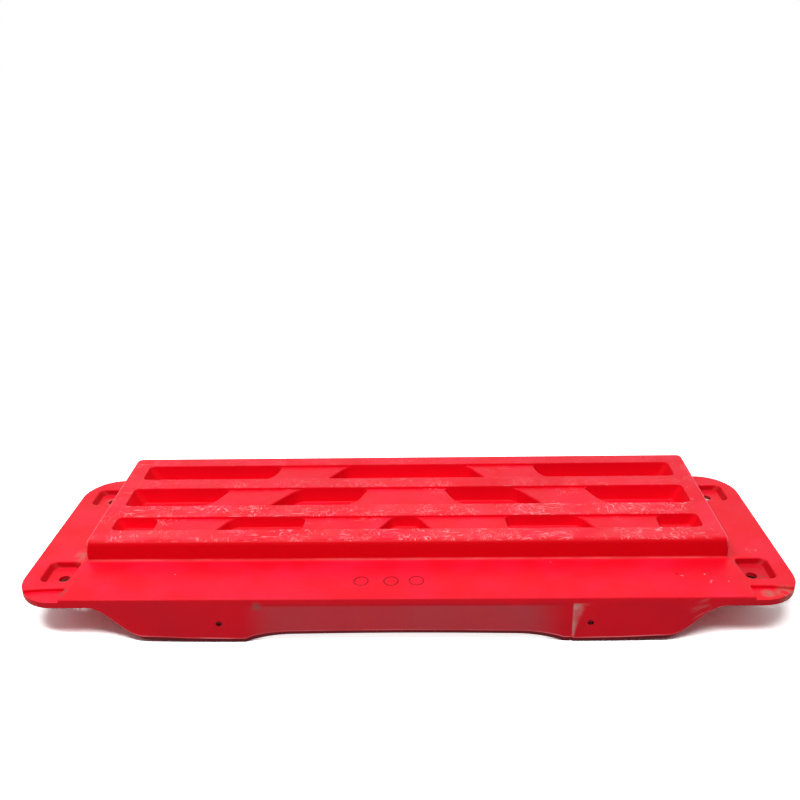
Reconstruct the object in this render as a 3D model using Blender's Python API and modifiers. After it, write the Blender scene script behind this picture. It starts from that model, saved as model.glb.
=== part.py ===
"""Low moulded step board: a ribbed tread with a front apron, a drop skirt and bolt-down end wings.

The red moulding is open underneath. Two pressed steel channels lie across its underside and are
screwed up into bosses below the tread bars.
Metres, +Z up, front towards -Y, origin on the floor under the middle of the object.
"""

import math

import bmesh
import bpy
from mathutils import Matrix, Vector

# Main sizes of the moulding
TREAD_WIDTH = 0.650
TREAD_DEPTH = 0.189
TREAD_TOP = 0.074
RISER_HEIGHT = 0.022
RISER_DRAFT = 0.0012
APRON_RUN = 0.067
APRON_EDGE_HEIGHT = 0.050
WALL = 0.004
EDGE_ROUND = 0.0025

# How far the space of a cut-out runs on past the surface that it opens
OVERSHOOT = 0.010

# End wings
WING_REACH = 0.057
WING_TOP = 0.050
WING_UNDERSIDE = 0.040
WING_BACK_INSET = 0.006
WING_CORNER_RADIUS = 0.034
LEDGE_STEP = 0.003
LEDGE_DEPTH = 0.018
LEDGE_INSET = 0.0095

# Bolt pockets in the wings: insets from the tread's side, setbacks from the front and back faces
POCKET_INSET = 0.006
POCKET_WIDTH = 0.0335
POCKET_FLARE = 0.006
POCKET_LENGTH = 0.036
POCKET_DEPTH = 0.006
POCKET_DRAFT = 22.0
POCKET_ROUND = 0.0035
FRONT_POCKET_SETBACK = 0.0505
REAR_POCKET_SETBACK = 0.0485
BOLT_INSET = 0.020
FRONT_BOLT_SETBACK = 0.046
REAR_BOLT_SETBACK = 0.050
BOLT_HOLE_DIAMETER = 0.011

# Tread, from the back edge forwards
BACK_BAR = 0.018
ROW_1 = 0.033
BAR_12 = 0.023
ROW_2 = 0.039
BAR_23 = 0.026
ROW_3 = 0.026
ROW_END_MARGIN = 0.019
BRIDGE_DROP = 0.0025
DEEP_POCKET = 0.018
SHALLOW_POCKET = 0.0135
TREAD_DRAFT = 8.0
TREAD_POCKET_ROUND = 0.004
POCKET_SIDE_STEP = 0.0005

# Slanted borders of the low bridges between the tread's pockets, as shares of half a row:
# each border runs from its first share at the back of the row to its second at the front
ROW_1_BRIDGE = ((0.2275, 0.2889), (0.4853, 0.5150))
ROW_2_MIDDLE_BRIDGE = (0.1402, 0.1912)
ROW_2_SIDE_BRIDGE = ((0.3974, 0.4833), (0.6533, 0.7118))
ROW_3_INNER_BRIDGE = ((0.0448, 0.0873), (0.3464, 0.3549))
ROW_3_OUTER_BRIDGE = ((0.6056, 0.6415), (0.8667, 0.8667))

# Skirt
SWEEP_MARGIN = 0.014
SWEEP_RUN = 0.071
FOOT_WIDTH = 0.082
NOTCH_HEIGHT = 0.0105
NOTCH_RUN = 0.055
PANEL_LAP = 0.002
PANEL_TOP = 0.0435
PANEL_RECESS = 0.0025
SKIRT_HOLE_INSET = 0.022
SKIRT_HOLE_HEIGHT = 0.0215
SKIRT_HOLE_DIAMETER = 0.0058

# Stiffening channels and their screws
CHANNEL_WIDTH = 0.040
CHANNEL_HEIGHT = 0.020
CHANNEL_SHEET = 0.002
CHANNEL_END_MARGIN = 0.006
SCREW_COUNT = 5
SCREW_END_MARGIN = 0.040
SCREW_SHANK = 0.0048
SCREW_LENGTH = 0.0135
SCREW_TIP = 0.003
SCREW_HEAD = 0.0095
SCREW_HEAD_HEIGHT = 0.003
SCREW_DRIVE = 0.0045
SCREW_DRIVE_DEPTH = 0.0016
BOSS_DIAMETER = 0.012
BOSS_HOLE_DEPTH = 0.0155

# Clearance between separate pieces that touch
GAP = 0.0003

# Positions that follow from the sizes above
HALF_DEPTH = (TREAD_DEPTH + APRON_RUN) / 2
FRONT = -HALF_DEPTH
BACK = HALF_DEPTH
TREAD_FRONT = BACK - TREAD_DEPTH
TREAD_HALF = TREAD_WIDTH / 2
WING_HALF = TREAD_HALF + WING_REACH
POCKET_INNER = TREAD_HALF + POCKET_INSET
POCKET_OUTER = POCKET_INNER + POCKET_WIDTH
BOLT_X = TREAD_HALF + BOLT_INSET
ROW_HALF_LENGTH = TREAD_HALF - ROW_END_MARGIN
SWEEP_TOP = TREAD_HALF - SWEEP_MARGIN
FOOT_OUTER = SWEEP_TOP - SWEEP_RUN
FOOT_INNER = FOOT_OUTER - FOOT_WIDTH
PANEL_HALF_WIDTH = FOOT_INNER + PANEL_LAP
SKIRT_HOLE_X = FOOT_INNER + SKIRT_HOLE_INSET
CHANNEL_HALF_LENGTH = ROW_HALF_LENGTH - CHANNEL_END_MARGIN
SCREW_SPAN = 2 * (CHANNEL_HALF_LENGTH - SCREW_END_MARGIN)
RISER_FOOT = TREAD_TOP - RISER_HEIGHT
LEDGE_TOP = WING_TOP - LEDGE_STEP
POCKET_FLOOR = WING_TOP - POCKET_DEPTH
ROW_1_BACK = BACK - BACK_BAR
ROW_1_FRONT = ROW_1_BACK - ROW_1
ROW_2_BACK = ROW_1_FRONT - BAR_12
ROW_2_FRONT = ROW_2_BACK - ROW_2
ROW_3_BACK = ROW_2_FRONT - BAR_23
ROW_3_FRONT = ROW_3_BACK - ROW_3
REAR_CHANNEL_Y = (ROW_1_FRONT + ROW_2_BACK) / 2
FRONT_CHANNEL_Y = (ROW_2_FRONT + ROW_3_BACK) / 2
CHANNEL_TOP = TREAD_TOP - DEEP_POCKET - WALL - GAP
BOSS_FOOT = CHANNEL_TOP + GAP

# Placings that stand a flat outline up: its section faces along X, or along Y
FACING_X = Matrix(((0, 0, 1, 0), (1, 0, 0, 0), (0, 1, 0, 0), (0, 0, 0, 1)))
FACING_Y = Matrix.Rotation(math.radians(90), 4, 'X')
FLAT = Matrix.Identity(4)


def make_collection(name):
    collection = bpy.data.collections.new(name)
    bpy.context.scene.collection.children.link(collection)
    return collection


def add_object(name, mesh, collection, guide=True):
    thing = bpy.data.objects.new(name, mesh)
    collection.objects.link(thing)
    if guide:
        thing.hide_render = True
        thing.display_type = 'WIRE'
    return thing


def outline_solid(name, outline, low, high, placing, collection, guide=True):
    """Extrude a closed flat outline from low to high along the axis it faces."""
    curve = bpy.data.curves.new(name + "_outline", 'CURVE')
    curve.dimensions = '2D'
    curve.fill_mode = 'BOTH'
    curve.extrude = abs(high - low) / 2
    spline = curve.splines.new('POLY')
    spline.points.add(len(outline) - 1)
    for point, (u, v) in zip(spline.points, outline):
        point.co = (u, v, 0, 1)
    spline.use_cyclic_u = True
    drawn = bpy.data.objects.new(name + "_drawn", curve)
    bpy.context.scene.collection.objects.link(drawn)
    drawn.matrix_world = placing @ Matrix.Translation((0, 0, (low + high) / 2))
    graph = bpy.context.evaluated_depsgraph_get()
    mesh = bpy.data.meshes.new_from_object(drawn.evaluated_get(graph))
    mesh.transform(drawn.matrix_world)
    bpy.data.objects.remove(drawn)
    welded = bmesh.new()
    welded.from_mesh(mesh)
    bmesh.ops.remove_doubles(welded, verts=welded.verts, dist=0.00001)
    bmesh.ops.recalc_face_normals(welded, faces=welded.faces)
    welded.to_mesh(mesh)
    welded.free()
    mesh.name = name
    return add_object(name, mesh, collection, guide)


def block(name, low, high, collection):
    """A plain box between two opposite corners."""
    low, high = Vector(low), Vector(high)
    shape = bmesh.new()
    sized = Matrix.Diagonal((high - low).to_4d())
    bmesh.ops.create_cube(shape, size=1.0, matrix=Matrix.Translation((low + high) / 2) @ sized)
    mesh = bpy.data.meshes.new(name)
    shape.to_mesh(mesh)
    shape.free()
    return add_object(name, mesh, collection)


def round_bar(name, diameter, foot, length, axis, collection, sides=32):
    """A cylinder that starts at foot and runs along axis."""
    shape = bmesh.new()
    turned = Vector((0, 0, 1)).rotation_difference(Vector(axis)).to_matrix().to_4x4()
    placed = Matrix.Translation(foot) @ turned @ Matrix.Translation((0, 0, length / 2))
    bmesh.ops.create_cone(shape, cap_ends=True, segments=sides, radius1=diameter / 2,
                          radius2=diameter / 2, depth=length, matrix=placed)
    mesh = bpy.data.meshes.new(name)
    shape.to_mesh(mesh)
    shape.free()
    return add_object(name, mesh, collection)


def drafted_pocket(name, corners, rim, floor, draft, collection, round_off=0.0, grow=0.0):
    """A tapered plug: corners give its plan at the rim as back and front ranges of x."""
    (back_y, back_low, back_high), (front_y, front_low, front_high) = corners
    lean = math.tan(math.radians(draft))
    above = rim + OVERSHOOT / 2
    shape = bmesh.new()
    bmesh.ops.create_cube(shape, size=2.0)
    for vertex in shape.verts:
        height = above if vertex.co.z > 0 else floor - grow
        offset = (height - rim) * lean + grow
        if vertex.co.y > 0:
            x = back_low - offset if vertex.co.x < 0 else back_high + offset
            y = back_y + offset
        else:
            x = front_low - offset if vertex.co.x < 0 else front_high + offset
            y = front_y - offset
        vertex.co = (x, y, height)
    mesh = bpy.data.meshes.new(name)
    shape.to_mesh(mesh)
    shape.free()
    plug = add_object(name, mesh, collection)
    if round_off:
        bevel = plug.modifiers.new("rounded corners", 'BEVEL')
        bevel.width = round_off
        bevel.segments = 3
        bevel.limit_method = 'ANGLE'
    return plug


def boolean(target, operand, operation, name):
    change = target.modifiers.new(name, 'BOOLEAN')
    change.operation = operation
    change.solver = 'EXACT'
    if isinstance(operand, bpy.types.Collection):
        change.operand_type = 'COLLECTION'
        change.collection = operand
    else:
        change.object = operand


def make_material(name, colour, roughness, metallic):
    material = bpy.data.materials.new(name)
    material.use_nodes = True
    shader = material.node_tree.nodes["Principled BSDF"]
    shader.inputs["Base Color"].default_value = (*colour, 1)
    shader.inputs["Roughness"].default_value = roughness
    shader.inputs["Metallic"].default_value = metallic
    return material


def wing_outline(inset, corner_radius, steps=8):
    """Plan of both wings in one plate: a rectangle with round corners."""
    half = WING_HALF - inset
    front = FRONT + inset
    back = BACK - WING_BACK_INSET - inset
    centres = ((1, front, -90), (1, back, 0), (-1, back, 90), (-1, front, 180))
    points = []
    for side, edge, start in centres:
        inward = corner_radius if edge == front else -corner_radius
        for step in range(steps + 1):
            angle = math.radians(start + 90 * step / steps)
            x = side * (half - corner_radius) + corner_radius * math.cos(angle)
            y = edge + inward + corner_radius * math.sin(angle)
            points.append((x, y))
    return points


def outer_sweep(side, steps=14):
    """What is cleared under one wing, outside the S-shaped end of the skirt."""
    beyond = WING_HALF + OVERSHOOT
    below = -OVERSHOOT
    points = [(side * FOOT_OUTER, below)]
    for step in range(steps + 1):
        share = step / steps
        x = FOOT_OUTER + (SWEEP_TOP - FOOT_OUTER) * share
        z = WING_UNDERSIDE * (1 - math.cos(math.pi * share)) / 2
        points.append((side * x, z))
    points.append((side * beyond, WING_UNDERSIDE))
    points.append((side * beyond, below))
    return points


def foot_notch(steps=8):
    """The shallow arch between the two feet."""
    below = -OVERSHOOT
    rise = []
    for step in range(steps + 1):
        share = step / steps
        x = FOOT_INNER - NOTCH_RUN * share
        rise.append((x, NOTCH_HEIGHT * math.sin(math.pi / 2 * share)))
    right = [(FOOT_INNER, below)] + rise
    return right + [(-x, z) for x, z in reversed(right)]


def row_pockets():
    """Every deep pocket of the tread as (name, corners, depth), mirrored left to right."""
    end = (1.0 - POCKET_SIDE_STEP / ROW_HALF_LENGTH,) * 2
    rows = (
        ("row_1", ROW_1_BACK, ROW_1_FRONT, DEEP_POCKET,
         ((None, ROW_1_BRIDGE[0]), (ROW_1_BRIDGE[1], end))),
        ("row_2", ROW_2_BACK, ROW_2_FRONT, DEEP_POCKET,
         ((ROW_2_MIDDLE_BRIDGE, ROW_2_SIDE_BRIDGE[0]), (ROW_2_SIDE_BRIDGE[1], end))),
        ("row_3", ROW_3_BACK, ROW_3_FRONT, SHALLOW_POCKET,
         ((None, ROW_3_INNER_BRIDGE[0]), (ROW_3_INNER_BRIDGE[1], ROW_3_OUTER_BRIDGE[0]),
          (ROW_3_OUTER_BRIDGE[1], end))),
    )
    for row, back, front, depth, spans in rows:
        back -= POCKET_SIDE_STEP
        front += POCKET_SIDE_STEP
        for count, (inner, outer) in enumerate(spans):
            back_out, front_out = (share * ROW_HALF_LENGTH for share in outer)
            if inner is None:
                corners = ((back, -back_out, back_out), (front, -front_out, front_out))
                yield row + "_middle", corners, depth
                continue
            back_in, front_in = (share * ROW_HALF_LENGTH for share in inner)
            right = ((back, back_in, back_out), (front, front_in, front_out))
            left = ((back, -back_out, -back_in), (front, -front_out, -front_in))
            yield row + "_right_" + str(count), right, depth
            yield row + "_left_" + str(count), left, depth


def tread_rows():
    yield "row_1", ROW_1_BACK, ROW_1_FRONT
    yield "row_2", ROW_2_BACK, ROW_2_FRONT
    yield "row_3", ROW_3_BACK, ROW_3_FRONT


def screw_places():
    """Where the screws stand along a channel."""
    for count in range(SCREW_COUNT):
        yield str(count + 1), SCREW_SPAN * (count / (SCREW_COUNT - 1) - 0.5)


def channel_screws():
    """Name and plan position of every screw."""
    for row, y in (("rear", REAR_CHANNEL_Y), ("front", FRONT_CHANNEL_Y)):
        for number, x in screw_places():
            yield row + "_screw_" + number, x, y


def wing_pockets():
    """Name, plan corners and bolt position of the four wing pockets; the front pair flare outwards."""
    ends = (
        ("front", FRONT + FRONT_POCKET_SETBACK, FRONT + FRONT_BOLT_SETBACK, POCKET_FLARE),
        ("rear", BACK - REAR_POCKET_SETBACK, BACK - REAR_BOLT_SETBACK, 0.0),
    )
    for side, hand in ((-1, "left"), (1, "right")):
        for end, middle, bolt_y, flare in ends:
            back_span = sorted((side * POCKET_INNER, side * POCKET_OUTER))
            front_span = sorted((side * (POCKET_INNER + flare), side * POCKET_OUTER))
            corners = ((middle + POCKET_LENGTH / 2, *back_span), (middle - POCKET_LENGTH / 2, *front_span))
            yield end + "_" + hand, corners, side * BOLT_X, bolt_y


def make_hollow(guides, kept):
    """The open space under the moulding, less every wall that stands in it."""
    deep = -OVERSHOOT
    section = [
        (FRONT + WALL, deep), (BACK - WALL, deep), (BACK - WALL, TREAD_TOP - WALL),
        (TREAD_FRONT + WALL, TREAD_TOP - WALL), (TREAD_FRONT + WALL - RISER_DRAFT, RISER_FOOT - WALL),
        (FRONT + WALL, APRON_EDGE_HEIGHT - WALL),
    ]
    hollow = outline_solid("hollow", section, -TREAD_HALF + WALL, TREAD_HALF - WALL, FACING_X, guides)
    under_wings = outline_solid("under_wings", wing_outline(WALL, WING_CORNER_RADIUS - WALL),
                                WING_UNDERSIDE - OVERSHOOT, WING_TOP - WALL, FLAT, guides)
    boolean(hollow, under_wings, 'UNION', "under the wings")
    above = TREAD_TOP + OVERSHOOT
    for name, back, front in tread_rows():
        block(name + "_skin", (-ROW_HALF_LENGTH - WALL, front - WALL, TREAD_TOP - BRIDGE_DROP - WALL),
              (ROW_HALF_LENGTH + WALL, back + WALL, above), kept)
    for name, corners, depth in row_pockets():
        drafted_pocket(name + "_cup", corners, TREAD_TOP, TREAD_TOP - depth, TREAD_DRAFT, kept, grow=WALL)
    for name, corners, bolt_x, bolt_y in wing_pockets():
        drafted_pocket(name + "_cup", corners, WING_TOP, WING_UNDERSIDE + WALL, POCKET_DRAFT, kept,
                       grow=WALL)
    for side, hand in ((-1, "left"), (1, "right")):
        low, high = sorted((side * (TREAD_HALF - WALL), side * (WING_HALF + OVERSHOOT)))
        block("ledge_pad_" + hand, (low, FRONT - OVERSHOOT, WING_UNDERSIDE - 2 * OVERSHOOT),
              (high, FRONT + LEDGE_DEPTH + WALL, WING_TOP + OVERSHOOT), kept)
    block("panel_pad", (-PANEL_HALF_WIDTH - WALL, FRONT, deep),
          (PANEL_HALF_WIDTH + WALL, FRONT + WALL + PANEL_RECESS, APRON_EDGE_HEIGHT), kept)
    for name, x, y in channel_screws():
        round_bar(name + "_boss", BOSS_DIAMETER, (x, y, BOSS_FOOT), above - BOSS_FOOT, (0, 0, 1), kept, 20)
    boolean(hollow, kept, 'DIFFERENCE', "walls left standing")
    return hollow


def make_cuts(cuts):
    """Everything cut into the moulding from outside."""
    through = HALF_DEPTH + OVERSHOOT
    outline_solid("sweep_left", outer_sweep(-1), -through, through, FACING_Y, cuts)
    outline_solid("sweep_right", outer_sweep(1), -through, through, FACING_Y, cuts)
    outline_solid("notch", foot_notch(), -through, through, FACING_Y, cuts)
    for name, back, front in tread_rows():
        corners = ((back, -ROW_HALF_LENGTH, ROW_HALF_LENGTH), (front, -ROW_HALF_LENGTH, ROW_HALF_LENGTH))
        drafted_pocket(name + "_channel", corners, TREAD_TOP, TREAD_TOP - BRIDGE_DROP, TREAD_DRAFT, cuts)
    for name, corners, depth in row_pockets():
        drafted_pocket(name, corners, TREAD_TOP, TREAD_TOP - depth, TREAD_DRAFT, cuts, TREAD_POCKET_ROUND)
    for name, corners, bolt_x, bolt_y in wing_pockets():
        drafted_pocket(name, corners, WING_TOP, POCKET_FLOOR, POCKET_DRAFT, cuts, POCKET_ROUND)
        round_bar(name + "_bolt_hole", BOLT_HOLE_DIAMETER, (bolt_x, bolt_y, WING_UNDERSIDE - OVERSHOOT),
                  WING_TOP - WING_UNDERSIDE + OVERSHOOT, (0, 0, 1), cuts)
    for side, hand in ((-1, "left"), (1, "right")):
        low, high = sorted((side * (TREAD_HALF + LEDGE_INSET), side * (WING_HALF + OVERSHOOT)))
        block("ledge_" + hand, (low, FRONT - OVERSHOOT, LEDGE_TOP),
              (high, FRONT + LEDGE_DEPTH, WING_TOP + OVERSHOOT), cuts)
        round_bar("skirt_hole_" + hand, SKIRT_HOLE_DIAMETER,
                  (side * SKIRT_HOLE_X, FRONT - OVERSHOOT, SKIRT_HOLE_HEIGHT),
                  2 * OVERSHOOT, (0, 1, 0), cuts, 20)
    block("skirt_panel", (-PANEL_HALF_WIDTH, FRONT - OVERSHOOT, -OVERSHOOT),
          (PANEL_HALF_WIDTH, FRONT + PANEL_RECESS, PANEL_TOP), cuts)
    for name, x, y in channel_screws():
        round_bar(name + "_pilot", SCREW_SHANK + 2 * GAP, (x, y, BOSS_FOOT - OVERSHOOT / 2),
                  BOSS_HOLE_DEPTH + OVERSHOOT / 2, (0, 0, 1), cuts, 16)


def make_moulding(parts, guides, cuts, kept):
    section = [
        (FRONT, 0), (BACK, 0), (BACK, TREAD_TOP), (TREAD_FRONT, TREAD_TOP),
        (TREAD_FRONT - RISER_DRAFT, RISER_FOOT), (FRONT, APRON_EDGE_HEIGHT),
    ]
    moulding = outline_solid("step_moulding", section, -TREAD_HALF, TREAD_HALF, FACING_X, parts, False)
    mesh = moulding.data
    weights = mesh.attributes.new("bevel_weight_edge", 'FLOAT', 'EDGE')
    for edge in mesh.edges:
        ends = [mesh.vertices[index].co for index in edge.vertices]
        if all(abs(end.z - TREAD_TOP) < 0.00001 for end in ends):
            weights.data[edge.index].value = 1.0
    rim = moulding.modifiers.new("rounded tread rim", 'BEVEL')
    rim.limit_method = 'WEIGHT'
    rim.width = EDGE_ROUND
    rim.segments = 2
    plate = outline_solid("wing_plate", wing_outline(0, WING_CORNER_RADIUS),
                          WING_UNDERSIDE, WING_TOP, FLAT, guides)
    edge_round = plate.modifiers.new("rounded wing edge", 'BEVEL')
    edge_round.width = EDGE_ROUND
    edge_round.segments = 2
    edge_round.limit_method = 'ANGLE'
    edge_round.angle_limit = math.radians(50)
    boolean(moulding, plate, 'UNION', "wings")
    make_cuts(cuts)
    boolean(moulding, make_hollow(guides, kept), 'DIFFERENCE', "open underside")
    boolean(moulding, cuts, 'DIFFERENCE', "cut-outs")
    moulding.data.materials.append(make_material("red moulded plastic", (0.72, 0.012, 0.03), 0.38, 0.0))
    return moulding


def make_channel(name, y, parts, cutters):
    """A U-section pressed from sheet, open downwards, with a clearance hole for each screw."""
    half = CHANNEL_WIDTH / 2
    top, foot = CHANNEL_TOP, CHANNEL_TOP - CHANNEL_HEIGHT
    sheet = CHANNEL_SHEET
    section = [
        (y - half, foot), (y - half + sheet, foot), (y - half + sheet, top - sheet),
        (y + half - sheet, top - sheet), (y + half - sheet, foot), (y + half, foot),
        (y + half, top), (y - half, top),
    ]
    channel = outline_solid(name, section, -CHANNEL_HALF_LENGTH, CHANNEL_HALF_LENGTH, FACING_X, parts, False)
    holes = make_collection(name + " screw holes")
    cutters.children.link(holes)
    bpy.context.scene.collection.children.unlink(holes)
    for number, x in screw_places():
        round_bar(name + "_hole_" + number, SCREW_SHANK + 2 * GAP,
                  (x, y, top - OVERSHOOT), 2 * OVERSHOOT, (0, 0, 1), holes, 16)
    boolean(channel, holes, 'DIFFERENCE', "screw holes")
    channel.data.materials.append(make_material(name + " zinc", (0.55, 0.56, 0.58), 0.35, 1.0))
    return channel


def make_screw(name, x, y, parts):
    """A pan-head screw under the channel, pointing up into its boss."""
    seat = CHANNEL_TOP - CHANNEL_SHEET - GAP
    half_head = SCREW_HEAD / 2
    half_shank = SCREW_SHANK / 2
    half_drive = SCREW_DRIVE / 2
    profile = [
        (0, SCREW_LENGTH), (half_shank * 0.35, SCREW_LENGTH), (half_shank, SCREW_LENGTH - SCREW_TIP),
        (half_shank, 0), (half_head, 0), (half_head, -SCREW_HEAD_HEIGHT * 0.5),
        (half_head * 0.72, -SCREW_HEAD_HEIGHT), (half_drive, -SCREW_HEAD_HEIGHT),
        (half_drive, SCREW_DRIVE_DEPTH - SCREW_HEAD_HEIGHT), (0, SCREW_DRIVE_DEPTH - SCREW_HEAD_HEIGHT),
    ]
    line = bmesh.new()
    rings = [line.verts.new((radius, 0, height)) for radius, height in profile]
    for first, second in zip(rings, rings[1:]):
        line.edges.new((first, second))
    mesh = bpy.data.meshes.new(name)
    line.to_mesh(mesh)
    line.free()
    screw = add_object(name, mesh, parts, False)
    screw.location = (x, y, seat)
    turned = screw.modifiers.new("turned", 'SCREW')
    turned.steps = 16
    turned.render_steps = 16
    turned.use_merge_vertices = True
    turned.merge_threshold = 0.00001
    turned.use_smooth_shade = True
    screw.data.materials.append(make_material(name + " zinc", (0.62, 0.60, 0.52), 0.4, 1.0))
    return screw


for old in list(bpy.data.objects):
    bpy.data.objects.remove(old)

part_collection = make_collection("moulded step board")
cutter_collection = make_collection("cutters")
cut_out_collection = make_collection("cut-outs")
wall_collection = make_collection("walls in the hollow")

make_moulding(part_collection, cutter_collection, cut_out_collection, wall_collection)
make_channel("rear_channel", REAR_CHANNEL_Y, part_collection, cutter_collection)
make_channel("front_channel", FRONT_CHANNEL_Y, part_collection, cutter_collection)
for screw_name, screw_x, screw_y in channel_screws():
    make_screw(screw_name, screw_x, screw_y, part_collection)
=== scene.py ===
# %% [markdown]
# # A moulded step board
# This object is a low red step, moulded in one piece from plastic: a ribbed tread at the back, a flat apron
# in front of it, a skirt that drops to the floor on two feet, and a wing at each end with pockets for bolts.
# The solids of the part are loaded first. They fix the overall size, so the model here is built onto them.

# %% Load the solids
import math
import bmesh
import bpy
from mathutils import Matrix, Vector


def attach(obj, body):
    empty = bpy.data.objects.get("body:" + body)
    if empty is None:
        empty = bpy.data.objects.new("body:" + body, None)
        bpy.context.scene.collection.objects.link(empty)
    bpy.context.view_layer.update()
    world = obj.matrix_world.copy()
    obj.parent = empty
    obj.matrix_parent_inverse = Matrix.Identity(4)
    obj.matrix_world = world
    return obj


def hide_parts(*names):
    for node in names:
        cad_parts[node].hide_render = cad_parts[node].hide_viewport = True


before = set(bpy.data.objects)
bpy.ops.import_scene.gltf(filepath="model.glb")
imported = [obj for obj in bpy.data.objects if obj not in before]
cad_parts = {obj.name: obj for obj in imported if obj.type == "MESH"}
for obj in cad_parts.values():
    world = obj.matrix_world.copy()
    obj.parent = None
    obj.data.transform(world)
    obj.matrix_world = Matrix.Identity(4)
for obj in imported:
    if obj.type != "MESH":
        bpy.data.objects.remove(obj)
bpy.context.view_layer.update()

# %% [markdown]
# The camera comes early. A camera is placed by its position and by the three directions of its axes. It looks
# from the front, with its axis about 22 degrees downwards, and the board sits in the lower half of the
# picture.

# %% Place the camera
CAMERA_PLACE = (0.02614, -0.86687, 0.56268)
CAMERA_DEGREES = (22.5366, -1.9016, -1.3534)
CAMERA_LENS = 41.4
bpy.ops.object.select_all(action='DESELECT')
bpy.ops.object.camera_add(location=CAMERA_PLACE)
camera = bpy.context.object
camera.name = "photo_camera"
camera.data.lens = CAMERA_LENS
camera.data.sensor_width = 36.0
camera.data.clip_start = 0.01
pitch, yaw, roll = (math.radians(angle) for angle in CAMERA_DEGREES)
ahead = Vector((math.sin(yaw) * math.cos(pitch), math.cos(yaw) * math.cos(pitch), -math.sin(pitch)))
level = Vector((math.cos(yaw), -math.sin(yaw), 0))
above = level.cross(ahead)
camera_right = math.cos(roll) * level + math.sin(roll) * above
camera_up = -math.sin(roll) * level + math.cos(roll) * above
camera.rotation_euler = Matrix((camera_right, camera_up, -ahead)).transposed().to_euler()
bpy.context.scene.camera = camera
print("camera looks along", [round(value, 3) for value in ahead])

# %% [markdown]
# The moulding starts as a flat plate. Its outline, with the large round corners of the wings, is easiest to
# get right while it is still one flat face: a plane is scaled to size, cut along the lines where something
# begins or ends, and its four outer corners are rounded as points. Only then is it pulled up to a thickness.
# The little helpers pick points, edges or faces by where they are, which stands in for clicking on them.

# %% Sizes of the moulding, in metres
TREAD_HALF = 0.325
BLOCK_HALF = 0.327
TREAD_FRONT = -0.061
TREAD_TOP = 0.074
FRONT = -0.128
BACK = 0.1312
RISER_FOOT = 0.052
WING_HALF = 0.3836
WING_HALF_BACK = 0.3811
WING_CORNER = 0.041
WING_BACK = 0.122
WING_TOP = 0.050
WING_UNDERSIDE = 0.040
LEDGE_SIDE = 0.3345
SIDES = (-1, 1)
print("moulding:", 2 * WING_HALF, "by", round(BACK - FRONT, 4), "by", TREAD_TOP)


# %% Helpers that select by place
def edit_shape():
    return bmesh.from_edit_mesh(bpy.context.edit_object.data)


def pick(kind, test):
    """Select only the points, edges or faces that pass a test, and say how many there are."""
    bpy.ops.mesh.select_mode(type=kind)
    bpy.ops.mesh.select_all(action='DESELECT')
    shape = edit_shape()
    items = {'VERT': shape.verts, 'EDGE': shape.edges, 'FACE': shape.faces}[kind]
    chosen = [item for item in items if test(item)]
    for item in chosen:
        item.select_set(True)
    bmesh.update_edit_mesh(bpy.context.edit_object.data)
    return len(chosen)


def pick_all():
    bpy.ops.mesh.select_all(action='SELECT')


def near(value, target, room=0.0002):
    return abs(value - target) < room


def middle(item):
    return sum((vertex.co for vertex in item.verts), Vector()) / len(item.verts)


def faces_up(face):
    return face.normal.z > 0.9


# %% Helpers that shape what is selected
def let_go():
    bpy.ops.object.select_all(action='DESELECT')


def settle():
    """Make the place, turn and scale of the active object part of its mesh."""
    bpy.ops.object.transform_apply(location=True, rotation=True, scale=True)


def work_in(mode):
    bpy.ops.object.mode_set(mode=mode)


def new_shape(add, name, place, scale):
    """Add a plane or a cube of a given size, ready to be shaped in edit mode."""
    let_go()
    add(size=1, location=place)
    made = bpy.context.object
    made.name = name
    made.scale = scale
    settle()
    work_in('EDIT')
    return made


def move(*shift):
    bpy.ops.transform.translate(value=shift)


def pull(*shift):
    """Extrude the selection and move what was extruded."""
    bpy.ops.mesh.extrude_region_move(TRANSFORM_OT_translate={"value": shift})


def cut(place, normal):
    """Bisect the selected faces by a plane."""
    bpy.ops.mesh.bisect(plane_co=place, plane_no=normal)


def face_outwards():
    pick_all()
    bpy.ops.mesh.normals_make_consistent(inside=False)


def round_edges(test, size, segments):
    """Bevel the edges that pass the test, with a round profile."""
    count = pick('EDGE', test)
    bpy.ops.mesh.bevel(offset=size, segments=segments, profile=0.5, affect='EDGES', clamp_overlap=False)
    return count


# %% Draw the plate and pull it up
plate_middle = (0, (FRONT + WING_BACK) / 2, WING_UNDERSIDE)
moulding = new_shape(bpy.ops.mesh.primitive_plane_add, "red_moulding", plate_middle,
                     (2 * WING_HALF, WING_BACK - FRONT, 1))
for x in (-LEDGE_SIDE, -BLOCK_HALF, BLOCK_HALF, LEDGE_SIDE):
    pick_all()
    cut((x, 0, 0), (1, 0, 0))
pick('EDGE', lambda edge: near(middle(edge).y, WING_BACK) and near(middle(edge).x, 0))
pull(0, BACK - WING_BACK, 0)
for side in SIDES:
    pick('VERT', lambda vertex: near(vertex.co.x, side * WING_HALF) and near(vertex.co.y, WING_BACK))
    move(side * (WING_HALF_BACK - WING_HALF), 0, 0)
corners = pick('VERT', lambda vertex: abs(vertex.co.x) > WING_HALF_BACK - 0.0002)
bpy.ops.mesh.bevel(offset=WING_CORNER, segments=14, profile=0.5, affect='VERTICES')
pick_all()
pull(0, 0, WING_TOP - WING_UNDERSIDE)
face_outwards()
print("plate with", corners, "round corners,", len(edit_shape().faces), "faces")

# %% [markdown]
# The tread is a block that rises from the plate. On a mould such a step would be a second, higher floor of
# the same cavity, so it is extruded out of the plate's own top face. The apron in front rises by 2 mm
# towards the riser, and the strip of wing beside the block takes up that slope.

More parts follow.
